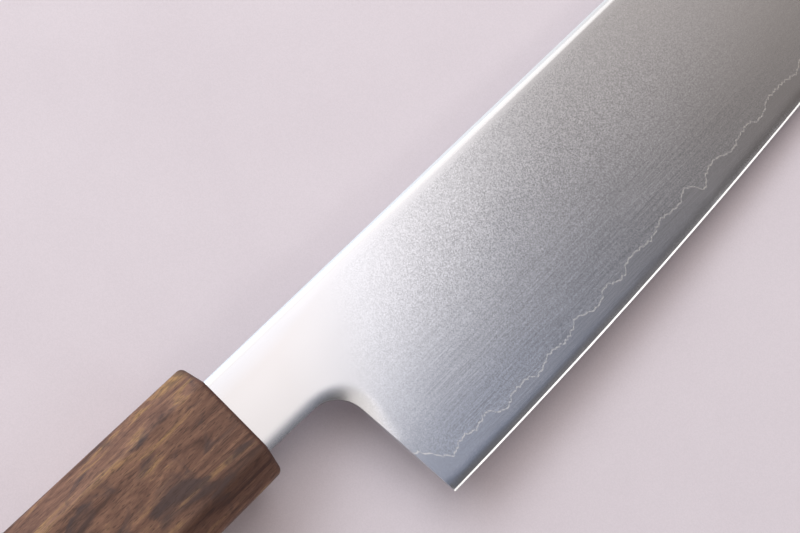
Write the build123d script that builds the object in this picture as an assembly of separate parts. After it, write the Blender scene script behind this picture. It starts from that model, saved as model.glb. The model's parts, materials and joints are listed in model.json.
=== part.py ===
from build123d import *
import math
import os

# A kiritsuke kitchen knife: a three-layer blade with a clipped tip and an octagonal wooden handle.
# All lengths are in millimetres.
# The pieces are drawn in the knife's own frame and then laid down together, as the knife rests.
# Knife frame: origin at the middle of the handle's front face, X towards the tip, Y towards the
# spine, Z out of the right face of the blade.

# Blade
blade_length = 200.0
heel_height = 46.2
belly_rise = 13.7
clip_length = 33.0
spine_thickness = 2.2
tip_spine_thickness = 1.2
spine_round_depth = 1.6
bevel_width = 0.5
bevel_thickness = 0.26

# Neck and heel
neck_length = 19.0
neck_height = 17.1
neck_height_at_heel = 17.6
choil_radius = 6.5
heel_lean = 2.1
# The softened edge along the neck's underside and the choil, which dies out where the heel thins.
easing_width = 2.0
easing_depth = 0.6

# Hard core sheet and the wavy line where the outer layers end
core_thickness = 0.56
tip_core_thickness = 0.3
lamination_height = 5.1

# Tang
tang_length = 95.0
tang_root_height = 10.5
tang_end_height = 6.0

# Handle
handle_length = 132.0
handle_front_width = 25.8
handle_front_thickness = 20.0
handle_butt_width = 27.8
handle_butt_thickness = 22.0
handle_chamfer = 4.7
handle_arris_radius = 1.4
handle_end_radius = 0.8
mouth_depth = 4.0
bore_diameter = 12.0
bore_depth = 105.0

# Clearances that the glue and the sealant fill
tang_clearance = 0.25
mouth_clearance = 0.2

overrun = 5.0

# The ground face: shares of the height above the edge, and of the half thickness of the spine there.
grind_shares = ((0.054, 0.25), (0.11, 0.37), (0.26, 0.57), (0.54, 0.80), (0.86, 0.97))

# Places of the blade's cross-sections, as shares of the blade's length from heel to tip.
section_shares = (0.12, 0.26, 0.40, 0.54, 0.68, 0.82, 0.93)

# The wavy line: shares of the blade's length, and of the line's usual height above the edge.
lamination_shares = (
    (-0.002, 1.96), (0.006, 1.63), (0.014, 1.19), (0.023, 0.88), (0.035, 1.10), (0.045, 1.12),
    (0.054, 0.96), (0.075, 1.15), (0.085, 0.75), (0.094, 0.67), (0.104, 0.91), (0.127, 0.91),
    (0.135, 0.67), (0.145, 0.74), (0.157, 0.93), (0.167, 0.89), (0.179, 0.77), (0.195, 0.92),
    (0.202, 1.12), (0.224, 0.77), (0.236, 0.83), (0.243, 1.05), (0.251, 1.07), (0.261, 0.84),
    (0.272, 0.82), (0.279, 1.07), (0.292, 1.12), (0.315, 0.96), (0.326, 1.05), (0.340, 1.23),
    (0.350, 1.10), (0.366, 1.04), (0.378, 1.31), (0.388, 1.14), (0.391, 0.90), (0.397, 0.66),
    (0.407, 1.02), (0.418, 1.15), (0.428, 1.15), (0.442, 0.90), (0.451, 0.87), (0.461, 1.01),
    (0.480, 1.09), (0.490, 0.84), (0.503, 0.88), (0.514, 1.12), (0.541, 1.06), (0.560, 0.86),
    (0.574, 1.12),
)
# Past its seen part the line runs on with the same swings.
lamination_repeat_share = 0.505


def edge_share(x):
    """How far along the blade x lies, 0 at the heel and 1 at the tip."""
    return (x - heel_tip_x) / blade_length


def edge_y(x):
    """Height of the cutting edge: level behind the heel, then climbing to the tip."""
    along = max(edge_share(x), 0.0)
    return spine_y - heel_height + belly_rise * along**2


def taper(x, at_heel, at_tip):
    """A thickness that is constant behind the heel and falls evenly to the tip."""
    return at_heel + (at_tip - at_heel) * max(edge_share(x), 0.0)


def blade_section(x):
    """Cross-section of the ground blade at x, from the edge to the rounded spine."""
    plane = Plane(origin=(x, 0, 0), x_dir=(0, 1, 0), z_dir=(1, 0, 0))
    bottom = edge_y(x)
    height = spine_y - bottom
    half = taper(x, spine_thickness, tip_spine_thickness) / 2
    shoulder = bottom + bevel_width, half * bevel_thickness / spine_thickness
    side = [shoulder]
    side += [(bottom + height * up, half * out) for up, out in grind_shares]
    side += [(spine_y - spine_round_depth, half)]
    mirrored = [(y, -z) for y, z in side]
    crown = spine_y - spine_round_depth
    edges = [
        Line((bottom, 0), side[0]),
        Spline(*side),
        EllipticalCenterArc((crown, 0), spine_round_depth, half, start_angle=0, arc_size=90),
        EllipticalCenterArc((crown, 0), spine_round_depth, half, start_angle=270, arc_size=90),
        Spline(*mirrored),
        Line((bottom, 0), mirrored[0]),
    ]
    return plane * make_face(edges)


def slab(outline, half_depth, plane=Plane.XY):
    """A plate with the given outline, half_depth to both sides of its plane."""
    return extrude(plane * make_face(outline), half_depth, both=True)


def blade_blank():
    """The whole blade with neck and tang, before it is divided into its layers."""
    stations = [heel_tip_x + blade_length * share for share in section_shares]
    stations = [heel_tip_x, *stations, tip_x + overrun]
    ground = loft([blade_section(x) for x in stations])
    ground += extrude(blade_section(heel_tip_x), heel_tip_x + tang_length + overrun, dir=(-1, 0, 0))

    under = -neck_height / 2
    corner = (neck_length, spine_y - neck_height_at_heel)
    heel = (heel_tip_x, spine_y - heel_height)
    below = (heel[0] + heel_lean * overrun / (heel_height - neck_height_at_heel), heel[1] - overrun)
    tip_y = edge_y(tip_x)
    drop = (spine_y - tip_y) / clip_length
    clip_top = (tip_x - clip_length - overrun, spine_y + drop * overrun)
    clip_bottom = (tip_x + overrun, tip_y - drop * overrun)
    points = [
        (-mouth_depth, under),
        (-mouth_depth, -tang_root_height / 2),
        (-tang_length, -tang_end_height / 2),
        (-tang_length, tang_end_height / 2),
        (-mouth_depth, tang_root_height / 2),
        (-mouth_depth, clip_top[1]),
        clip_top,
        clip_bottom,
        (clip_bottom[0], below[1]),
        below,
    ]
    underside = FilletPolyline((-mouth_depth, under), corner, below, radius=choil_radius)
    blank = ground & slab([underside, Polyline(*points)], spine_thickness)

    notch = make_face([underside, Polyline((-mouth_depth, under), (-mouth_depth, below[1]), below)])
    spread = math.degrees(math.atan(easing_width / easing_depth))
    easing = extrude(Pos(0, 0, spine_thickness / 2 - easing_depth) * notch, easing_depth, taper=-spread)
    return blank - easing - mirror(easing, Plane.XY)


def lamination_line():
    """Points of the wavy line, from behind the heel to past the tip."""
    shares = list(lamination_shares)
    seen_share = lamination_shares[-1][0]
    for along, up in lamination_shares:
        if along + lamination_repeat_share > seen_share:
            shares.append((along + lamination_repeat_share, up))
    line = []
    for along, up in shares:
        x = heel_tip_x + blade_length * along
        line.append((x, edge_y(x) + lamination_height * up))
    return line


def blade_layers(blank):
    """The core sheet and the two outer layers, cut out of the blank."""
    line = lamination_line()
    back, front, top = -tang_length - overrun, tip_x + 2 * overrun, spine_y + overrun
    start, end = (back, line[0][1]), (front, line[-1][1])
    outline = Polyline(start, *line, end, (front, top), (back, top), close=True)
    clad_area = slab(outline, spine_thickness)

    core_back, core_tip = core_thickness / 2, taper(front, core_thickness, tip_core_thickness) / 2
    top_of_layer = spine_thickness + overrun
    side = Polyline(
        (back, core_back), (heel_tip_x, core_back), (front, core_tip),
        (front, top_of_layer), (back, top_of_layer), close=True,
    )
    right_space = clad_area & slab(side, heel_height + overrun, Plane.XZ)
    left_space = mirror(right_space, Plane.XY)
    return blank - right_space - left_space, blank & right_space, blank & left_space


def octagon(x, width, thickness):
    """Corners of the handle's section at x."""
    y, z, cut = width / 2, thickness / 2, handle_chamfer
    corners = [(y - cut, z), (y, z - cut), (y, cut - z), (y - cut, -z)]
    corners += [(-a, -b) for a, b in corners]
    return [(x, a, b) for a, b in corners]


def handle_pieces():
    """The octagonal body, the split dowel and the space that the tang's glue fills."""
    front = octagon(0, handle_front_width, handle_front_thickness)
    butt = octagon(-handle_length, handle_butt_width, handle_butt_thickness)
    faces = [Face(Wire.make_polygon(front)), Face(Wire.make_polygon(butt))]
    for i in range(len(front)):
        j = (i + 1) % len(front)
        faces.append(Face(Wire.make_polygon([front[i], front[j], butt[j], butt[i]])))
    body = Solid(Shell(faces))
    arrises = [edge for edge in body.edges() if edge.length > handle_length - overrun]
    body = fillet(arrises, handle_arris_radius)
    ends = body.faces().sort_by(Axis.X)
    body = fillet(ends[0].edges() + ends[-1].edges(), handle_end_radius)

    slot_thickness = spine_thickness + 2 * tang_clearance
    mouth_height = neck_height + 2 * mouth_clearance
    mouth = Pos(-mouth_depth / 2, 0, 0) * Box(mouth_depth, mouth_height, slot_thickness)
    bore = extrude(Plane.YZ * Circle(bore_diameter / 2), -bore_depth)
    slot = Pos(-bore_depth / 2, 0, 0) * Box(bore_depth, bore_diameter, slot_thickness)
    dowels = bore - slot - mouth
    lower, upper = dowels.solids().sort_by(Axis.Z)
    glue_space = (bore & slot) - mouth
    return body - bore - mouth, upper, lower, mouth, glue_space


def laid_down(pieces):
    """Turn the knife about Y until tip and handle touch the surface, and centre it there."""
    tilt = 0.0
    for _ in range(4):
        blade_low = pieces["core_steel"].rotate(Axis.Y, tilt).bounding_box().min.Z
        handle_low = pieces["handle_body"].rotate(Axis.Y, tilt).bounding_box().min.Z
        tilt += math.degrees(math.atan((blade_low - handle_low) / tip_x))
    turned = {name: piece.rotate(Axis.Y, tilt) for name, piece in pieces.items()}
    box = Compound(list(turned.values())).bounding_box()
    centre = box.center()
    move = Pos(-centre.X, -centre.Y, -box.min.Z)
    print("tilt", round(tilt, 4), "moved by", [round(v, 4) for v in (-centre.X, -centre.Y, -box.min.Z)])
    return {name: move * piece for name, piece in turned.items()}


spine_y = neck_height / 2
heel_tip_x = neck_length + heel_lean
tip_x = heel_tip_x + blade_length

blank = blade_blank()
core, clad_right, clad_left = blade_layers(blank)
handle, dowel_upper, dowel_lower, mouth_space, glue_space = handle_pieces()

pieces = {
    "core_steel": core,
    "cladding_right": clad_right,
    "cladding_left": clad_left,
    "handle_body": handle,
    "dowel_half_upper": dowel_upper,
    "dowel_half_lower": dowel_lower,
    "tang_adhesive": glue_space - blank,
    "mouth_seal": mouth_space - blank,
}

os.makedirs("parts", exist_ok=True)
for name, piece in laid_down(pieces).items():
    export_step(piece, os.path.join("parts", name + ".step"))
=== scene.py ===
import json
import math

import bmesh
import bpy
import numpy as np
from mathutils import Matrix, Quaternion, Vector
from mathutils.geometry import tessellate_polygon


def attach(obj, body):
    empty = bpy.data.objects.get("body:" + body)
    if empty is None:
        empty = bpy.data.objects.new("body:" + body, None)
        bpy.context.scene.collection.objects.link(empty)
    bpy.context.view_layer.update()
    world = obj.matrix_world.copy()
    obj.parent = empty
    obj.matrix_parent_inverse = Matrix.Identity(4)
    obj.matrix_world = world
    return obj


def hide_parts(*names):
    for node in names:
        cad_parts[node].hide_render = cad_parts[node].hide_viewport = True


# A kiritsuke kitchen knife lying on pale paper: a satin, three-layer blade and a walnut handle.
# The pieces are drawn in the knife's own frame, in millimetres, and then laid down as the CAD is.
# Knife frame: origin at the middle of the handle's front face, X towards the tip, Y towards the
# spine, Z out of the right face of the blade.

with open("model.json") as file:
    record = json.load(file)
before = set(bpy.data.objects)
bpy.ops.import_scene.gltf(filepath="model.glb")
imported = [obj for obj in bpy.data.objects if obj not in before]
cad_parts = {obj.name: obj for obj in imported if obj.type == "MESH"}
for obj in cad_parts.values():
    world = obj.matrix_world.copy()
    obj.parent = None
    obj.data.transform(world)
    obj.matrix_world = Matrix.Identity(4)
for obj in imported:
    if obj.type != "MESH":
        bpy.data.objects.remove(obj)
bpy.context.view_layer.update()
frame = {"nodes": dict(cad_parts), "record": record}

MM = 0.001

# Blade
blade_length = 200.0
heel_height = 46.2
belly_rise = 13.7
clip_length = 33.0
spine_thickness = 2.2
tip_spine_thickness = 1.2
spine_round_depth = 1.6
clip_round_depth = 0.5
# The spine keeps a flat top between its rounded shoulders.
spine_round_share = 0.45
spine_round_power = 2.2
bevel_width = 0.35
bevel_thickness = 0.26

# Neck and heel
neck_length = 19.0
neck_height = 17.1
neck_height_at_heel = 17.6
choil_radius = 6.5
heel_lean = 2.1
easing_width = 2.6
easing_depth = 0.16
easing_fade_length = 9.0
# The easing is broader and deeper in the choil's corner.
corner_easing_width = 1.6
corner_easing_depth = 0.15
corner_easing_reach = 7.5

# Hard core sheet and the wavy weld line where the outer layers end
core_thickness = 0.56
tip_core_thickness = 0.3
lamination_height = 5.1
weld_line_width = 0.34

# Tang
tang_length = 95.0
tang_root_height = 10.5
tang_end_height = 6.0
tang_shoulder_run = 0.5

# Handle
handle_length = 132.0
handle_front_width = 25.8
handle_front_thickness = 20.0
handle_butt_width = 27.8
handle_butt_thickness = 22.0
handle_chamfer = 4.7
handle_arris_radius = 2.0
handle_front_radius = 1.2
handle_butt_radius = 1.2
mouth_depth = 4.0
mouth_height = 17.5
mouth_thickness = 2.7
bore_diameter = 12.0
bore_depth = 105.0

# Colours of the steel, linear
satin_tint = (0.615, 0.627, 0.655)
# The neck's colour is a painted reflection: warmer and dimmer than the satin, standing in for the light the
# neck reflects.
painted_neck_reflection_tint = (0.580, 0.570, 0.570)
hard_tint = (0.59, 0.60, 0.63)
weld_tint = (0.84, 0.84, 0.83)
bevel_tint = (0.86, 0.85, 0.84)

# Finish of the steel: cells of grain and fine lines per metre, and the share of each tone's swing
grain_scale = 7000
hairline_scale = 3400
hairline_stretch = (0.025, 1, 1)
satin_grain, satin_brushing = 0.38, 0.2
hard_grain, hard_brushing = 0.12, 0.12
hairline_share = 0.5
satin_roughness, hard_roughness, bevel_roughness, weld_roughness = 0.2, 0.19, 0.22, 0.26
roughness_swing = 0.012
# Where each look starts and where it has its full strength, in metres of the knife frame
grain_from_handle = (0.024, 0.058)
grain_from_tip = (0.130, 0.090)
grain_from_spine = (0.0068, 0.0055)
grain_growth = (0.005, -0.008)
hairlines_towards_edge = (-0.004, -0.022)
hairlines_from_heel = (0.021, 0.034)
# Where the painted neck reflection fades into the satin, along the blade and by the spine
painted_reflection_from_neck = (0.014, 0.034)
painted_reflection_clear_by_spine = (0.0035, 0.0070)
# The looks' borders lean: this share of the height is taken off the length along the blade.
border_lean = 0.5
# Share of its strength that the grain has by the tip and by the spine
grain_at_tip = 0.2
grain_at_spine = 0.55

# Colours of the woods, the glue and the paper, linear
walnut_tones = (
    (0.36, (0.080, 0.038, 0.028)),
    (0.45, (0.190, 0.096, 0.066)),
    (0.53, (0.275, 0.145, 0.096)),
    (0.64, (0.400, 0.225, 0.125)),
)
olive_tint = (0.390, 0.228, 0.095)
blot_tint = (0.062, 0.045, 0.048)
fibre_tint = (0.088, 0.048, 0.038)
pore_tint = (0.045, 0.027, 0.022)
# Painted shade: the handle's top darkens towards the edge side, deepest along the arris above the lower
# chamfer.
arris_shade_tint = (0.070, 0.038, 0.030)
end_grain_tint = (0.075, 0.030, 0.024)
plain_wood_tones = ((0.3, (0.15, 0.085, 0.05)), (0.7, (0.26, 0.155, 0.085)))
glue_tones = ((0.35, (0.020, 0.009, 0.007)), (0.65, (0.038, 0.017, 0.012)))
paper_light = (0.82, 0.75, 0.81)
paper_dark = (0.78, 0.71, 0.77)
paper_speck_tones = ((0.2, (0.96, 0.96, 0.96)), (0.8, (1.0, 1.0, 1.0)))
# Where the walnut's colours change, in metres of the knife frame
olive_towards_spine = (0.0, 0.010)
# Painted shade across the handle: it grows towards the edge-side arris and dies out past it.
arris_shade_from = (-0.002, -0.0085)
arris_shade_to = (-0.0115, -0.0085)
end_grain_depths = (0.0011, 0.0003)

# Meshing
edge_step = 0.45
heel_step = 0.8
neck_step = 1.0
arc_steps = 14
tang_steps = 40
crossing_steps = 400
arris_steps = 5
core_rows = 6
face_rows = 40
face_row_power = 1.6
crown_rows = 7
heel_fan = 6.0
heel_fan_length = 26.0
end_steps = 6
body_rings = 60
bore_steps = 20
lip_steps = 4
# Shortest column, in millimetres, and the distances below which points are merged, in metres
least_column = 1e-6
merge_distance = 2e-7
least_edge = 1e-7
sharp_angle = math.radians(22)
# Marks on the rows of the blade's mesh
shoulder_tag = 1
face_tag = 2

# Camera, floor and light, in metres
camera_at = (-0.108157, -0.003323, 0.366356)
camera_aim = (0.002315, 0.011039, 0.0)
camera_roll = math.radians(38.038)
camera_lens = 90.13
camera_clip = (0.01, 10)
floor_size = 4.0
# Each soft box has a name, a place, a tip, a size, a power and a colour. It faces down, tipped about
# its own X, and all are turned alike about the vertical.
soft_box_turn = math.radians(30.8)
soft_boxes = (
    ("near_box", (0.150, 0.304, 0.61), 0.0, (0.75, 0.6), 1.68, (1.0, 0.94, 0.90)),
    ("deep_box", (-0.398, 1.406, 1.10), 0.0, (1.62, 1.08), 19.6, (0.94, 0.98, 1.0)),
    ("edge_fill", (0.34, -0.40, 0.50), math.radians(50), (0.4, 0.2), 0.40, (1.0, 1.0, 1.0)),
)
# The room: its even light, and broad glows, each a direction, a sharpness and a colour.
room_colour = (0.01, 0.01, 0.01)
room_glows = (
    ((0.66, 0.09, 1.0), 150, (0.60, 0.54, 0.50)),
    ((0.35, 0.06, 1.0), 150, (0.67, 0.66, 0.73)),
    ((0.36, -0.15, 1.0), 150, (0.20, 0.25, 0.37)),
    ((0.31, -0.07, 1.0), 500, (0.22, 0.24, 0.27)),
    ((0.45, -0.05, 1.0), 500, (0.05, 0.06, 0.06)),
    ((0.34, 0.38, 1.0), 100, (0.34, 0.33, 0.32)),
    ((0.29, -1.0, 1.0), 10, (0.29, 0.28, 0.28)),
    ((1.0, 0.0, 0.35), 6, (0.40, 0.30, 0.23)),
    ((-1.0, 0.0, 0.35), 6, (1.15, 1.02, 0.92)),
    ((0.0, 1.0, 0.35), 6, (1.19, 1.31, 1.42)),
    ((0.7, 0.7, 0.5), 8, (0.99, 0.96, 0.93)),
)

# The ground face: shares of the height above the edge, and of the half thickness of the spine there.
# Next to the bevel it turns in quickly by edge_turn_depth.
grind_shares = ((0.11, 0.39), (0.26, 0.575), (0.54, 0.80), (0.86, 0.958))
edge_turn_width = 1.7
edge_turn_depth = 0.14
grind_root_share = 0.01

# The wavy line: shares of the blade's length, and of the line's usual height above the edge.
lamination_shares = (
    (-0.002, 1.96), (0.006, 1.63), (0.014, 1.19), (0.023, 0.88), (0.035, 1.10), (0.045, 1.12),
    (0.054, 0.96), (0.075, 1.15), (0.085, 0.75), (0.094, 0.67), (0.104, 0.91), (0.127, 0.91),
    (0.135, 0.67), (0.145, 0.74), (0.157, 0.93), (0.167, 0.89), (0.179, 0.77), (0.195, 0.92),
    (0.202, 1.12), (0.224, 0.77), (0.236, 0.83), (0.243, 1.05), (0.251, 1.07), (0.261, 0.84),
    (0.272, 0.82), (0.279, 1.07), (0.292, 1.12), (0.315, 0.96), (0.326, 1.05), (0.340, 1.23),
    (0.350, 1.10), (0.366, 1.04), (0.378, 1.31), (0.388, 1.14), (0.391, 0.90), (0.397, 0.66),
    (0.407, 1.02), (0.418, 1.15), (0.428, 1.15), (0.442, 0.90), (0.451, 0.87), (0.461, 1.01),
    (0.480, 1.09), (0.490, 0.84), (0.503, 0.88), (0.514, 1.12), (0.541, 1.06), (0.560, 0.86),
    (0.574, 1.12),
)
# Past its seen part the line runs on with the same swings.
lamination_repeat_share = 0.505
# Small swings on top of it: height, beats over the blade's length, and start.
lamination_ripples = ((0.02, 1130, 0.0), (0.03, 727, 1.3), (0.022, 1571, 0.4))

spine_y = neck_height / 2
heel_tip_x = neck_length + heel_lean
heel_tip_y = spine_y - heel_height
tip_x = heel_tip_x + blade_length
clip_start_x = tip_x - clip_length


def knife_matrix():
    """The knife frame in the row frame, in metres, read from the mount on the handle's butt."""
    butt = next(m for m in frame["record"]["mounts"] if m["name"] == "handle_butt_face")
    along = -Vector(butt["axis"]).normalized()
    across = Vector((0, 1, 0))
    out = along.cross(across)
    place = Matrix((along, across, out)).transposed().to_4x4()
    place.translation = Vector(butt["pos_m"]) + along * handle_length * MM
    return place


KNIFE = knife_matrix()


def laid_down(points):
    """Points of the knife frame, in millimetres, as points of the row frame, in metres."""
    turn = np.array(KNIFE.to_3x3())
    return np.asarray(points) * MM @ turn.T + np.array(KNIFE.translation)


def spline_through(knots, values):
    """A natural cubic curve through the points, as a function."""
    k = np.asarray(knots, float)
    v = np.asarray(values, float)
    step = np.diff(k)
    count = len(k)
    bend = np.eye(count)
    right = np.zeros(count)
    for i in range(1, count - 1):
        bend[i, i - 1:i + 2] = step[i - 1], 2 * (step[i - 1] + step[i]), step[i]
        right[i] = 6 * ((v[i + 1] - v[i]) / step[i] - (v[i] - v[i - 1]) / step[i - 1])
    second = np.linalg.solve(bend, right)

    def curve(x):
        i = np.clip(np.searchsorted(k, x) - 1, 0, count - 2)
        a, b, h = k[i + 1] - x, x - k[i], step[i]
        cubic = (second[i] * a**3 + second[i + 1] * b**3) / (6 * h)
        return cubic + (v[i] / h - second[i] * h / 6) * a + (v[i + 1] / h - second[i + 1] * h / 6) * b

    return curve


def edge_share(x):
    """How far along the blade x lies, 0 at the heel and behind it and 1 at the tip."""
    return np.maximum((x - heel_tip_x) / blade_length, 0)


def edge_y(x):
    return heel_tip_y + belly_rise * edge_share(x)**2


def taper(x, at_heel, at_tip):
    return at_heel + (at_tip - at_heel) * edge_share(x)


def face_curve():
    """Share of the spine's half thickness, against a stretched share of the ground face's height."""
    face_height = heel_height - bevel_width - spine_round_depth
    ups = [0] + [(up * heel_height - bevel_width) / face_height for up, _ in grind_shares] + [1]
    outs = [bevel_thickness / spine_thickness + edge_turn_depth / (spine_thickness / 2)]
    outs += [out for _, out in grind_shares] + [1]
    return spline_through(np.sqrt(np.array(ups) + grind_root_share), outs)


ground_face = face_curve()


def notch_line():
    """The start of the neck's underside, the points round the choil and the heel's lower corner."""
    corner = np.array([neck_length, spine_y - neck_height_at_heel])
    back = np.array([-mouth_depth, -neck_height / 2])
    heel = np.array([heel_tip_x, heel_tip_y])
    to_back = (back - corner) / np.linalg.norm(back - corner)
    to_heel = (heel - corner) / np.linalg.norm(heel - corner)
    half_angle = math.acos(float(to_back @ to_heel)) / 2
    run = choil_radius / math.tan(half_angle)
    middle = to_back + to_heel
    centre = corner + middle / np.linalg.norm(middle) * choil_radius / math.sin(half_angle)
    start, end = corner + to_back * run, corner + to_heel * run
    angles = [math.atan2(*(point - centre)[::-1]) for point in (start, end)]
    arc = [centre + choil_radius * np.array([math.cos(a), math.sin(a)])
           for a in np.linspace(angles[0], angles[1], arc_steps + 1)]
    return back, arc, heel


notch_back, notch_arc, notch_heel = notch_line()
notch_path = np.array([notch_back, *notch_arc, notch_heel])
choil_corner = notch_arc[arc_steps * 4 // 5]


def distance_to_notch(x, y):
    """Distance from points to the line under the neck, round the choil and down the heel."""
    points = np.stack([x, y], -1)
    best = np.full(x.shape, np.inf)
    for a, b in zip(notch_path[:-1], notch_path[1:]):
        along = np.clip(((points - a) @ (b - a)) / ((b - a) @ (b - a)), 0, 1)
        best = np.minimum(best, np.linalg.norm(points - a - along[..., None] * (b - a), axis=-1))
    return best


def ground_half(x, y):
    """Half thickness of the ground blade at x and y, without its spine's rounding."""
    bottom = edge_y(x)
    half = taper(x, spine_thickness, tip_spine_thickness) / 2
    shoulder = bottom + bevel_width
    up = np.clip((y - shoulder) / (spine_y - spine_round_depth - shoulder), 0, 1)
    on_bevel = np.clip((y - bottom) / bevel_width, 0, 1) * bevel_thickness / spine_thickness
    turn_in = edge_turn_depth / (spine_thickness / 2) * np.clip(1 - (y - shoulder) / edge_turn_width, 0, 1)**2
    share = np.where(y < shoulder, on_bevel, ground_face(np.sqrt(up + grind_root_share)) - turn_in)
    whole = half * share
    corner = np.clip(1 - np.hypot(x - choil_corner[0], y - choil_corner[1]) / corner_easing_reach, 0, 1)
    corner = corner**2 * (3 - 2 * corner)
    width = easing_width + corner_easing_width * corner
    depth = easing_depth + corner_easing_depth * corner
    fade = np.clip(1 - (notch_arc[-1][1] - y) / easing_fade_length, 0, 1)
    return whole - depth * fade * np.clip(1 - distance_to_notch(x, y) / width, 0, 1)**2


def lamination_y(x):
    """Height of the wavy line at x, with small swings between its main points."""
    shares = list(lamination_shares)
    seen_share = lamination_shares[-1][0]
    for along, up in lamination_shares:
        if along + lamination_repeat_share > seen_share:
            shares.append((along + lamination_repeat_share, up))
    along, up = np.array(shares).T
    here = (x - heel_tip_x) / blade_length
    ripple = sum(height * np.sin(here * beats + start) for height, beats, start in lamination_ripples)
    return edge_y(x) + lamination_height * (np.interp(here, along, up) + ripple)


def blade_columns():
    """Lower and upper ends of the mesh's columns, from the tang's end to the tip."""
    lower, upper = [], []
    tang = np.array([tang_root_height, tang_end_height]) / 2
    for x in np.linspace(-tang_length, -mouth_depth, tang_steps):
        half = np.interp(x, [-tang_length, -mouth_depth], tang[::-1])
        lower.append((x, -half))
        upper.append((x, half))
    for x in np.arange(-mouth_depth + tang_shoulder_run, notch_arc[0][0], neck_step):
        lower.append((x, np.interp(x, [-mouth_depth, notch_arc[0][0]], [notch_back[1], notch_arc[0][1]])))
        upper.append((x, spine_y))
    for point in notch_arc:
        lower.append(tuple(point))
        upper.append((point[0], spine_y))
    end = notch_arc[-1]
    last_x = np.interp(bevel_width, [0, heel_height], [heel_tip_x, end[0]])
    last = np.array([last_x, heel_tip_y + bevel_width])
    count = int((end[1] - last[1]) / heel_step)
    for share in np.linspace(0, 1, count + 1)[1:]:
        point = end + (last - end) * share
        lower.append(tuple(point))
        upper.append((point[0] + heel_fan * share**2, spine_y))
    for x in np.linspace(heel_tip_x, tip_x, int(blade_length / edge_step) + 1):
        fade = np.clip(1 - (x - heel_tip_x) / heel_fan_length, 0, 1)
        above = x + heel_fan * fade**2
        clip = spine_y - (above - clip_start_x) * (spine_y - edge_y(tip_x)) / clip_length
        lower.append((x, edge_y(x)))
        upper.append((above, min(spine_y, clip)))
    return np.array(lower), np.array(upper)


def crossing(lower, upper):
    """Share of each column at which it meets the wavy line, 0 where it starts above the line."""
    shares = np.linspace(0, 1, crossing_steps)
    found = np.zeros(len(lower))
    for i, (a, b) in enumerate(zip(lower, upper)):
        if a[0] < notch_arc[-1][0]:
            continue
        points = a + shares[:, None] * (b - a)
        above = points[:, 1] - lamination_y(points[:, 0])
        if above[0] >= 0:
            continue
        j = int(np.argmax(above > 0)) if (above > 0).any() else len(shares) - 1
        part = above[j - 1] / (above[j - 1] - above[j]) if above[j] > 0 else 1
        found[i] = shares[j - 1] + part * (shares[1] - shares[0])
    return found


def blade_grid():
    """The half blade: x, y, half thickness, the core's own, and the rows where cladding starts and ends."""
    lower, upper = blade_columns()
    length = np.maximum(np.linalg.norm(upper - lower, axis=1), least_column)
    weld = crossing(lower, upper)
    on_clip = upper[:, 0] > clip_start_x
    round_depth = np.where(on_clip, clip_round_depth * math.sqrt(2), spine_round_depth)
    crown = np.maximum(1 - round_depth / length, 0.5)
    weld = np.minimum(weld, crown)
    height = np.maximum(upper[:, 1] - lower[:, 1], least_column)
    shoulder = (edge_y(lower[:, 0]) + bevel_width - lower[:, 1]) / height
    shoulder = np.clip(shoulder, 0, weld)
    strip = np.where(weld > 0, np.minimum(weld + weld_line_width / length, crown), 0)

    rows = [np.zeros(len(lower)), shoulder]
    rows += [shoulder + (weld - shoulder) * i / core_rows for i in range(1, core_rows + 1)]
    rows += [strip]
    rows += [strip + (crown - strip) * (i / face_rows)**face_row_power for i in range(1, face_rows + 1)]
    weld_row = 1 + core_rows
    crown_row = len(rows) - 1

    rows += [crown + (1 - crown) * i / crown_rows for i in range(1, crown_rows + 1)]
    rows += [np.ones(len(lower))]
    clad_top_row = crown_row + crown_rows

    shares = np.array(rows).T
    x = lower[:, 0:1] + shares * (upper - lower)[:, 0:1]
    y = lower[:, 1:2] + shares * (upper - lower)[:, 1:2]
    half = ground_half(x, y)
    over_crown = np.clip((shares - crown[:, None]) / (1 - crown)[:, None], 0, 1)
    half = half * (1 - spine_round_share * over_crown**spine_round_power)
    core = taper(x, core_thickness, tip_core_thickness) / 2
    half[:, -1] = 0
    return x, y, half, core, weld_row, clad_top_row


def add_sheet(bm, row_layer, x, y, z, rows, tags, flip, material_of):
    """A grid of faces over columns and rows. Returns its vertices as rows of columns."""
    count = x.shape[0]
    verts = []
    for r, tag in zip(rows, tags):
        place = laid_down(np.stack([x[:, r], y[:, r], z[:, r]], -1))
        line = []
        for point in place:
            vert = bm.verts.new(point)
            vert[row_layer] = tag
            line.append(vert)
        verts.append(line)
    for i in range(len(verts) - 1):
        for c in range(count - 1):
            quad = [verts[i][c], verts[i][c + 1], verts[i + 1][c + 1], verts[i + 1][c]]
            face = bm.faces.new(quad[::-1] if flip else quad)
            face.material_index = material_of(i)
    return verts


def add_wall(bm, first, second, flip):
    """Quads between two lines of vertices."""
    for c in range(len(first) - 1):
        quad = [first[c], first[c + 1], second[c + 1], second[c]]
        bm.faces.new(quad[::-1] if flip else quad)


def finished_piece(bm, name, materials, sharp_tag=None, row_layer=None):
    """Cleans the mesh, shades it smooth up to its sharp edges and makes the object."""
    bmesh.ops.remove_doubles(bm, verts=bm.verts, dist=merge_distance)
    bmesh.ops.dissolve_degenerate(bm, edges=bm.edges, dist=least_edge)
    loose = [v for v in bm.verts if not v.link_faces]
    bmesh.ops.delete(bm, geom=loose, context="VERTS")
    bmesh.ops.recalc_face_normals(bm, faces=bm.faces)
    for face in bm.faces:
        face.smooth = True
    for edge in bm.edges:
        angle = edge.calc_face_angle(0)
        on_line = sharp_tag is not None and all(v[row_layer] == sharp_tag for v in edge.verts)
        edge.smooth = not (on_line or angle > sharp_angle)
    mesh = bpy.data.meshes.new(name)
    bm.to_mesh(mesh)
    bm.free()
    piece = bpy.data.objects.new(name, mesh)
    bpy.context.scene.collection.objects.link(piece)
    for material in materials:
        mesh.materials.append(material)
    return piece


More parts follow.
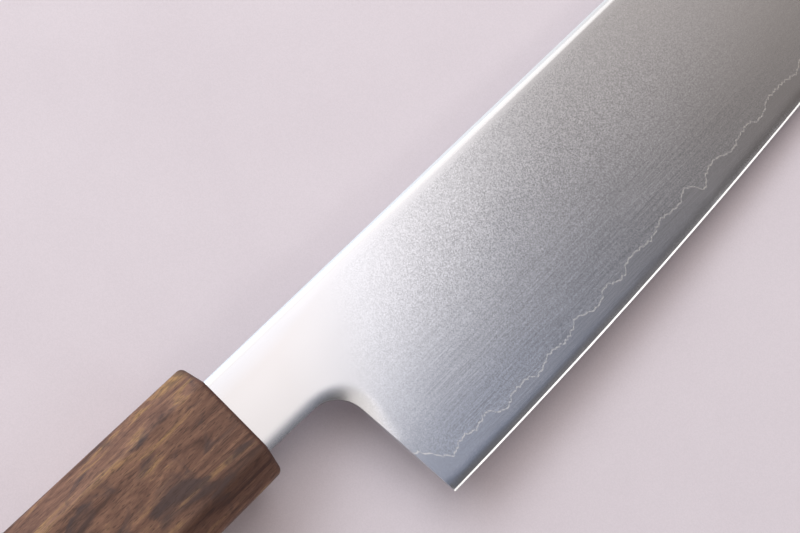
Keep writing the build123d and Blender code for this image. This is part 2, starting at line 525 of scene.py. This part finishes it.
def cladding(name, side, grid, materials):
    """An outer layer of the blade, from the wavy line to the spine, on the side +1 or -1."""
    x, y, half, core, weld_row, clad_top_row = grid
    bm = bmesh.new()
    row_layer = bm.verts.layers.int.new("row")
    rows = list(range(weld_row, clad_top_row + 1))
    tags = [face_tag] * len(rows)
    outer = np.maximum(half, core)
    exposed = add_sheet(bm, row_layer, x, y, side * outer, rows, tags, side < 0, lambda i: 1 if i == 0 else 0)
    hidden = add_sheet(bm, row_layer, x, y, side * core, rows, tags, side > 0, lambda i: 0)
    add_wall(bm, exposed[0], hidden[0], side > 0)
    add_wall(bm, exposed[-1], hidden[-1], side < 0)
    add_wall(bm, [line[0] for line in exposed], [line[0] for line in hidden], side < 0)
    return finished_piece(bm, name, materials)


def core_sheet(name, grid, materials):
    """The hard centre layer: bare below the wavy line and along the crown of the spine."""
    x, y, half, core, weld_row, clad_top_row = grid
    last = x.shape[1] - 1
    rows = list(range(weld_row + 1)) + list(range(weld_row, last + 1))
    covered = core[:, weld_row:clad_top_row + 1]
    z = np.concatenate([half[:, :weld_row + 1], covered, half[:, clad_top_row + 1:]], 1)
    no_bare = np.isclose(x[:, 0], x[:, weld_row]) & np.isclose(y[:, 0], y[:, weld_row])
    z[no_bare, :weld_row + 1] = core[no_bare, :1]
    tags = [shoulder_tag if i == 1 else face_tag for i in range(len(rows))]
    xs, ys = x[:, rows], y[:, rows]
    bm = bmesh.new()
    row_layer = bm.verts.layers.int.new("row")
    all_rows = range(len(rows))
    right = add_sheet(bm, row_layer, xs, ys, z, all_rows, tags, False, lambda i: 1 if i == 0 else 0)
    left = add_sheet(bm, row_layer, xs, ys, -z, all_rows, tags, True, lambda i: 1 if i == 0 else 0)
    add_wall(bm, right[0], left[0], True)
    add_wall(bm, [line[0] for line in right], [line[0] for line in left], True)
    return finished_piece(bm, name, materials, shoulder_tag, row_layer)


def octagon_ring(x, width, thickness, inset, radius):
    """Points of a rounded octagon at x, drawn in by inset."""
    y, z = width / 2 - inset, thickness / 2 - inset
    cut = handle_chamfer - inset * (2 - math.sqrt(2))
    radius = max(radius - inset, radius * 0.3)
    corners = [(y - cut, z), (y, z - cut), (y, cut - z), (y - cut, -z)]
    corners += [(-a, -b) for a, b in corners]
    points = []
    for i, corner in enumerate(corners):
        here = np.array(corner)
        before = np.array(corners[i - 1]) - here
        after = np.array(corners[(i + 1) % len(corners)]) - here
        before, after = before / np.linalg.norm(before), after / np.linalg.norm(after)
        half_angle = math.acos(float(before @ after)) / 2
        centre = here + (before + after) / np.linalg.norm(before + after) * radius / math.sin(half_angle)
        run = radius / math.tan(half_angle)
        first, second = here + before * run - centre, here + after * run - centre
        start = math.atan2(first[1], first[0])
        turn = math.atan2(second[1], second[0]) - start
        turn = (turn + math.pi) % (2 * math.pi) - math.pi
        for step in range(arris_steps + 1):
            angle = start + turn * step / arris_steps
            points.append((x, centre[0] + radius * math.cos(angle), centre[1] + radius * math.sin(angle)))
    return np.array(points)


def arc_points(x, radius, start, end, steps):
    """Points of an arc about the knife's X axis, at x, from bearing start to end."""
    bearings = np.linspace(start, end, steps + 1)
    return np.stack([np.full(steps + 1, x), radius * np.cos(bearings), radius * np.sin(bearings)], -1)


def handle_rings():
    """Rounded octagons from the front face to the butt, with both ends eased."""
    rings = []

    def station(x, inset):
        share = -x / handle_length
        width = handle_front_width + (handle_butt_width - handle_front_width) * share
        thickness = handle_front_thickness + (handle_butt_thickness - handle_front_thickness) * share
        rings.append(octagon_ring(x, width, thickness, inset, handle_arris_radius))

    angles = [math.pi / 2 * i / end_steps for i in range(end_steps + 1)]
    for angle in angles:
        station(-handle_front_radius * (1 - math.cos(angle)), handle_front_radius * (1 - math.sin(angle)))
    for x in np.linspace(-handle_front_radius, handle_butt_radius - handle_length, body_rings)[1:-1]:
        station(x, 0)
    for angle in reversed(angles):
        station(handle_butt_radius * (1 - math.cos(angle)) - handle_length,
                handle_butt_radius * (1 - math.sin(angle)))
    return rings


def ring_of_quads(bm, first, second):
    for i in range(len(first)):
        j = (i + 1) % len(first)
        bm.faces.new([first[i], first[j], second[j], second[i]])


def place_verts(bm, points):
    return [bm.verts.new(point) for point in laid_down(points)]


def add_mouth(bm, front_ring):
    """The front face with its opening: the drilled bore, and the slot that takes the neck's full height."""
    half_y, half_z, radius = mouth_height / 2, mouth_thickness / 2, bore_diameter / 2
    lip = math.asin(half_z / radius)
    arcs = ((lip, math.pi - lip), (math.pi + lip, 2 * math.pi - lip))
    ends = (half_y, -half_y)

    def outline(x):
        points = []
        for (start, end), y in zip(arcs, ends):
            side = 1 if y > 0 else -1
            arc = arc_points(x, radius, start, end, bore_steps)
            points += [(x, y, side * half_z), *arc, (x, -y, side * half_z)]
        return np.array(points)

    face_points = [Vector(point) for point in front_ring], [Vector(point) for point in outline(0)]
    corners = place_verts(bm, np.array([*front_ring, *outline(0)]))
    for triangle in tessellate_polygon(face_points):
        bm.faces.new([corners[i] for i in triangle])
    ring_of_quads(bm, place_verts(bm, outline(0)), place_verts(bm, outline(-mouth_depth)))
    bore = []
    for start, end in arcs:
        bore += [*arc_points(0, radius, start, end, bore_steps)]
        bore += [*arc_points(0, radius, end, end + 2 * lip, lip_steps)[1:-1]]
    inner, outer = (np.array(bore) - np.array([depth, 0, 0]) for depth in (bore_depth, mouth_depth))
    ring_of_quads(bm, place_verts(bm, outer), place_verts(bm, inner))
    bm.faces.new(place_verts(bm, inner))
    for y, start in ((half_y, -lip), (-half_y, math.pi - lip)):
        side = 1 if y > 0 else -1
        plate = [*arc_points(-mouth_depth, radius, start, start + 2 * lip, lip_steps),
                 (-mouth_depth, y, side * half_z), (-mouth_depth, y, -side * half_z)]
        bm.faces.new(place_verts(bm, np.array(plate)))


def handle_piece(name, materials):
    """The octagonal handle with softened arrises, eased ends and its bored mouth."""
    rings = handle_rings()
    bm = bmesh.new()
    lines = [place_verts(bm, ring) for ring in rings]
    for first, second in zip(lines[:-1], lines[1:]):
        ring_of_quads(bm, first, second)
    bm.faces.new(lines[-1])
    add_mouth(bm, rings[0])
    return finished_piece(bm, name, materials)


def new_material(name):
    """A new material, its node tree and its shader."""
    material = bpy.data.materials.new(name)
    material.use_nodes = True
    tree = material.node_tree
    shader = next(n for n in tree.nodes if n.type == "BSDF_PRINCIPLED")
    return material, tree, shader


def add_node(tree, kind, **values):
    """A shader node with its settings and input values, given by name."""
    node = tree.nodes.new(kind)
    for key, value in values.items():
        if hasattr(node, key):
            setattr(node, key, value)
        else:
            node.inputs[key.replace("_", " ")].default_value = value
    return node


def knife_coordinates(tree, scale):
    """Coordinates in the knife's own frame, in metres, times scale."""
    place = add_node(tree, "ShaderNodeTexCoord")
    mapping = add_node(tree, "ShaderNodeMapping", vector_type="TEXTURE")
    mapping.inputs["Location"].default_value = KNIFE.translation
    mapping.inputs["Rotation"].default_value = KNIFE.to_euler()
    mapping.inputs["Scale"].default_value = [1 / s for s in scale]
    tree.links.new(place.outputs["Object"], mapping.inputs["Vector"])
    return mapping.outputs["Vector"]


def add_axis(tree, vector, axis):
    """One coordinate of a vector."""
    node = add_node(tree, "ShaderNodeSeparateXYZ")
    tree.links.new(vector, node.inputs[0])
    return node.outputs[axis]


def noise(tree, vector, scale, detail=2.0, roughness=0.5, distortion=0.0):
    node = add_node(tree, "ShaderNodeTexNoise")
    node.inputs["Scale"].default_value = scale
    node.inputs["Detail"].default_value = detail
    node.inputs["Roughness"].default_value = roughness
    node.inputs["Distortion"].default_value = distortion
    tree.links.new(vector, node.inputs["Vector"])
    return node.outputs["Fac"]


def ramp(tree, value, stops):
    """A colour ramp over value. Stops are pairs of a place and a linear colour."""
    node = add_node(tree, "ShaderNodeValToRGB")
    while len(node.color_ramp.elements) < len(stops):
        node.color_ramp.elements.new(1)
    for element, (place, colour) in zip(node.color_ramp.elements, stops):
        element.position = place
        element.color = (*colour, 1)
    tree.links.new(value, node.inputs["Fac"])
    return node.outputs["Color"]


def levels(tree, value, low, high, to_low=0.0, to_high=1.0):
    node = add_node(tree, "ShaderNodeMapRange")
    node.inputs["From Min"].default_value = low
    node.inputs["From Max"].default_value = high
    node.inputs["To Min"].default_value = to_low
    node.inputs["To Max"].default_value = to_high
    tree.links.new(value, node.inputs["Value"])
    return node.outputs["Result"]


def mixed(tree, factor, first, second, blend="MIX"):
    """Two colours mixed by a factor, each a socket or a fixed colour."""
    node = add_node(tree, "ShaderNodeMix", data_type="RGBA", blend_type=blend)
    for socket, value in ((node.inputs[0], factor), (node.inputs[6], first), (node.inputs[7], second)):
        if isinstance(value, bpy.types.NodeSocket):
            tree.links.new(value, socket)
        elif isinstance(value, tuple):
            socket.default_value = (*value, 1)
        else:
            socket.default_value = value
    return node.outputs[2]


def summed(tree, first, second, operation="ADD"):
    node = add_node(tree, "ShaderNodeMath", operation=operation)
    for socket, value in zip(node.inputs, (first, second)):
        if isinstance(value, bpy.types.NodeSocket):
            tree.links.new(value, socket)
        else:
            socket.default_value = value
    return node.outputs[0]


def bump(tree, height, strength, distance, normal=None):
    node = add_node(tree, "ShaderNodeBump")
    node.inputs["Strength"].default_value = strength
    node.inputs["Distance"].default_value = distance
    tree.links.new(height, node.inputs["Height"])
    if normal is not None:
        tree.links.new(normal, node.inputs["Normal"])
    return node.outputs["Normal"]


def grain_specks(tree, vector, scale):
    """A random tone for each tiny cell."""
    node = add_node(tree, "ShaderNodeTexVoronoi")
    node.inputs["Scale"].default_value = scale
    tree.links.new(vector, node.inputs["Vector"])
    return node.outputs["Color"]


def scaled_tint(tint, shares):
    return tuple(c * share for c, share in zip(tint, shares))


def metal(name, roughness):
    """A metal whose roughness swings a little from place to place."""
    material, tree, shader = new_material(name)
    shader.inputs["Metallic"].default_value = 1.0
    areas = noise(tree, knife_coordinates(tree, (0.5, 1, 1)), 55, 2, 0.5)
    rough = levels(tree, areas, 0.35, 0.65, roughness - roughness_swing, roughness + roughness_swing)
    tree.links.new(rough, shader.inputs["Roughness"])
    return material, tree, shader


def steel(name, tint, roughness, grain, brushing):
    """Satin steel: a fine even grain that dies out at both ends, hairlines that grow towards the edge, and a
    painted warmer, dimmer reflection at the neck, kept off the spine.
    """
    material, tree, shader = metal(name, roughness)
    even = knife_coordinates(tree, (1, 1, 1))
    specks = grain_specks(tree, even, grain_scale)
    lines = noise(tree, knife_coordinates(tree, hairline_stretch), hairline_scale, 3, 0.75)
    across, along = add_axis(tree, even, "Y"), add_axis(tree, even, "X")
    slanted = summed(tree, along, summed(tree, across, border_lean, "MULTIPLY"), "SUBTRACT")
    from_handle = levels(tree, slanted, *grain_from_handle)
    from_tip = levels(tree, along, *grain_from_tip, grain_at_tip)
    from_spine = levels(tree, across, *grain_from_spine)
    from_spine = summed(tree, from_spine, levels(tree, across, *grain_growth, grain_at_spine), "MULTIPLY")
    where = summed(tree, summed(tree, from_handle, from_tip, "MULTIPLY"), from_spine, "MULTIPLY")
    low = levels(tree, across, *hairlines_towards_edge)
    low = summed(tree, low, levels(tree, along, *hairlines_from_heel), "MULTIPLY")
    low = summed(tree, low, from_tip, "MULTIPLY")
    # Painted reflection: the neck gets a warmer, dimmer colour, faded out along the blade and near the spine.
    by_spine = levels(tree, across, *painted_reflection_clear_by_spine)
    clear_of_painted_reflection = summed(tree, levels(tree, slanted, *painted_reflection_from_neck), by_spine, "MAXIMUM")
    plain = mixed(tree, clear_of_painted_reflection, painted_neck_reflection_tint, tint)
    grained = ramp(tree, specks, (
        (0.2, scaled_tint(tint, [1 - grain] * 3)), (0.8, scaled_tint(tint, [1 + grain] * 3))))
    streaks = ramp(tree, lines, (
        (0.36, scaled_tint(tint, [1 - 1.6 * brushing] * 3)), (0.66, scaled_tint(tint, [1 + brushing] * 3))))
    shade = mixed(tree, where, plain, grained)
    shade = mixed(tree, summed(tree, low, hairline_share, "MULTIPLY"), shade, streaks)
    tree.links.new(shade, shader.inputs["Base Color"])
    return material


def bevel_steel(name):
    """The bright ground bevel, of one colour."""
    material, _, shader = metal(name, bevel_roughness)
    shader.inputs["Base Color"].default_value = (*bevel_tint, 1)
    return material


def weld_steel(name):
    """The pale, finely broken line of the weld."""
    material, tree, shader = new_material(name)
    shader.inputs["Metallic"].default_value = 1.0
    shader.inputs["Roughness"].default_value = weld_roughness
    breaks = noise(tree, knife_coordinates(tree, (1, 1, 1)), 2600, 2, 0.6)
    colour = mixed(tree, levels(tree, breaks, 0.40, 0.52), satin_tint, weld_tint)
    tree.links.new(colour, shader.inputs["Base Color"])
    return material


def walnut(name):
    """Oiled walnut with its grain along the handle, darker at the end grain, and painted shade along the
    arris on the edge side.
    """
    material, tree, shader = new_material(name)
    even = knife_coordinates(tree, (1, 1, 1))
    bands = noise(tree, knife_coordinates(tree, (0.16, 1, 1)), 240, 5, 0.65, 1.0)
    blots = noise(tree, knife_coordinates(tree, (0.5, 1, 1)), 230, 3, 0.5, 0.8)
    fibres = noise(tree, knife_coordinates(tree, (0.12, 1, 1)), 2600, 4, 0.8)
    pores = noise(tree, knife_coordinates(tree, (0.14, 1, 1)), 4600, 1, 0.5)
    across = summed(tree, add_axis(tree, even, "Y"), levels(tree, bands, 0.3, 0.7, -0.002, 0.002))
    colour = ramp(tree, bands, walnut_tones)
    olive = levels(tree, across, *olive_towards_spine, 0.45, 0.8)
    olive = summed(tree, levels(tree, bands, 0.53, 0.62), olive, "MULTIPLY")
    colour = mixed(tree, olive, colour, olive_tint)
    colour = mixed(tree, levels(tree, blots, 0.52, 0.66, 0, 0.85), colour, blot_tint)
    colour = mixed(tree, levels(tree, fibres, 0.40, 0.60, 0, 0.42), colour, fibre_tint)
    colour = mixed(tree, levels(tree, pores, 0.32, 0.44, 0.55, 0), colour, pore_tint)
    # Painted shade: darker towards the edge side of the top and deepest along the arris.
    arris_shade = levels(tree, across, *arris_shade_from, 0, 0.45)
    arris_shade = summed(tree, arris_shade, levels(tree, across, *arris_shade_to), "MULTIPLY")
    colour = mixed(tree, arris_shade, colour, arris_shade_tint)
    at_end = handle_length / 2 * MM
    from_middle = summed(tree, add_axis(tree, even, "X"), at_end)
    from_middle = summed(tree, from_middle, 0.0, "ABSOLUTE")
    ends = levels(tree, from_middle, *[at_end - depth for depth in end_grain_depths], 0, 0.8)
    colour = mixed(tree, ends, colour, end_grain_tint)
    tree.links.new(colour, shader.inputs["Base Color"])
    tree.links.new(levels(tree, fibres, 0.3, 0.7, 0.46, 0.58), shader.inputs["Roughness"])
    shader.inputs["Specular IOR Level"].default_value = 0.3
    normal = bump(tree, fibres, 0.3, 0.0001)
    normal = bump(tree, pores, 0.4, 0.00006, normal)
    tree.links.new(normal, shader.inputs["Normal"])
    return material


def plain_wood(name):
    """The plain, unfinished wood of the hidden dowel."""
    material, tree, shader = new_material(name)
    drawn = knife_coordinates(tree, (0.08, 1, 1))
    grain = noise(tree, drawn, 700, 4, 0.6, 0.2)
    colour = ramp(tree, grain, plain_wood_tones)
    tree.links.new(colour, shader.inputs["Base Color"])
    tree.links.new(levels(tree, grain, 0.3, 0.7, 0.6, 0.75), shader.inputs["Roughness"])
    tree.links.new(bump(tree, grain, 0.3, 0.0001), shader.inputs["Normal"])
    return material


def set_glue(name):
    """Dark set glue, slightly uneven."""
    material, tree, shader = new_material(name)
    even = knife_coordinates(tree, (1, 1, 1))
    lumps = noise(tree, even, 900, 3, 0.5)
    colour = ramp(tree, lumps, glue_tones)
    tree.links.new(colour, shader.inputs["Base Color"])
    tree.links.new(levels(tree, lumps, 0.3, 0.7, 0.45, 0.6), shader.inputs["Roughness"])
    tree.links.new(bump(tree, lumps, 0.3, 0.00005), shader.inputs["Normal"])
    return material


def paper(name):
    """Pale paper with a faint mottle."""
    material, tree, shader = new_material(name)
    even = knife_coordinates(tree, (1, 1, 1))
    mottle = noise(tree, even, 26, 4, 0.55)
    fibre = noise(tree, even, 1500, 3, 0.6)
    colour = ramp(tree, mottle, ((0.3, paper_dark), (0.7, paper_light)))
    shade = ramp(tree, grain_specks(tree, even, 4500), paper_speck_tones)
    tree.links.new(mixed(tree, 1.0, colour, shade, "MULTIPLY"), shader.inputs["Base Color"])
    shader.inputs["Roughness"].default_value = 0.9
    shader.inputs["Specular IOR Level"].default_value = 0.2
    tree.links.new(bump(tree, fibre, 0.12, 0.0001), shader.inputs["Normal"])
    return material


def area_light(name, at, tip, size, power, colour):
    light = bpy.data.lights.new(name, "AREA")
    light.shape = "RECTANGLE"
    light.size, light.size_y = size
    light.energy = power
    light.color = colour
    lamp = bpy.data.objects.new(name, light)
    bpy.context.scene.collection.objects.link(lamp)
    lamp.location = at
    lamp.rotation_euler = (tip, 0, soft_box_turn)


def dress_blade():
    grid = blade_grid()
    satin = steel("satin_steel", satin_tint, satin_roughness, satin_grain, satin_brushing)
    hard = steel("hard_steel", hard_tint, hard_roughness, hard_grain, hard_brushing)
    weld = weld_steel("weld_line")
    ground = bevel_steel("ground_bevel")
    names = (("core_steel", None), ("cladding_right", 1), ("cladding_left", -1))
    for node, side in names:
        if side is None:
            piece = core_sheet("blade_core", grid, [hard, ground])
        else:
            piece = cladding("blade_" + node, side, grid, [satin, weld])
        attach(piece, "root")
        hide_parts(node)


def dress_handle():
    piece = handle_piece("handle_walnut", [walnut("oiled_walnut")])
    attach(piece, "root")
    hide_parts("handle_body")
    finishes = {
        "dowel_half_upper": plain_wood("dowel_wood"),
        "tang_adhesive": set_glue("set_glue"),
    }
    finishes["dowel_half_lower"] = finishes["dowel_half_upper"]
    finishes["mouth_seal"] = finishes["tang_adhesive"]
    for node, material in finishes.items():
        mesh = frame["nodes"][node].data
        mesh.materials.clear()
        mesh.materials.append(material)


def make_floor():
    mesh = bpy.data.meshes.new("floor")
    half = floor_size / 2
    corners = [(-half, -half, 0), (half, -half, 0), (half, half, 0), (-half, half, 0)]
    mesh.from_pydata(corners, [], [(0, 1, 2, 3)])
    floor = bpy.data.objects.new("floor", mesh)
    bpy.context.scene.collection.objects.link(floor)
    mesh.materials.append(paper("pale_paper"))


def make_room():
    """The room's dim light: an even base and broad glows from some sides."""
    world = bpy.data.worlds.new("room")
    world.use_nodes = True
    tree = world.node_tree
    background = next(n for n in tree.nodes if n.type == "BACKGROUND")
    place = add_node(tree, "ShaderNodeTexCoord")
    total = add_node(tree, "ShaderNodeRGB").outputs[0]
    total.default_value = (*room_colour, 1)
    for direction, sharpness, colour in room_glows:
        facing = add_node(tree, "ShaderNodeVectorMath", operation="DOT_PRODUCT")
        tree.links.new(place.outputs["Generated"], facing.inputs[0])
        facing.inputs[1].default_value = Vector(direction).normalized()
        glow = summed(tree, summed(tree, facing.outputs["Value"], 0.0, "MAXIMUM"), sharpness, "POWER")
        scaled = add_node(tree, "ShaderNodeVectorMath", operation="SCALE")
        scaled.inputs[0].default_value = colour
        tree.links.new(glow, scaled.inputs["Scale"])
        added = add_node(tree, "ShaderNodeVectorMath", operation="ADD")
        tree.links.new(total, added.inputs[0])
        tree.links.new(scaled.outputs["Vector"], added.inputs[1])
        total = added.outputs["Vector"]
    tree.links.new(total, background.inputs["Color"])
    bpy.context.scene.world = world


def make_light():
    """Soft boxes over the spine side, a low fill from the edge side and a dim room."""
    for light in soft_boxes:
        area_light(*light)
    make_room()


def make_camera():
    camera = bpy.data.cameras.new("camera")
    camera.lens = camera_lens
    camera.clip_start, camera.clip_end = camera_clip
    viewer = bpy.data.objects.new("camera", camera)
    bpy.context.scene.collection.objects.link(viewer)
    viewer.location = camera_at
    viewer.rotation_mode = "QUATERNION"
    look = (Vector(camera_aim) - Vector(camera_at)).to_track_quat("-Z", "Y")
    viewer.rotation_quaternion = look @ Quaternion((0, 0, 1), camera_roll)
    bpy.context.scene.camera = viewer


dress_blade()
dress_handle()
make_floor()
make_light()
make_camera()
bpy.context.scene.view_settings.view_transform = "Standard"
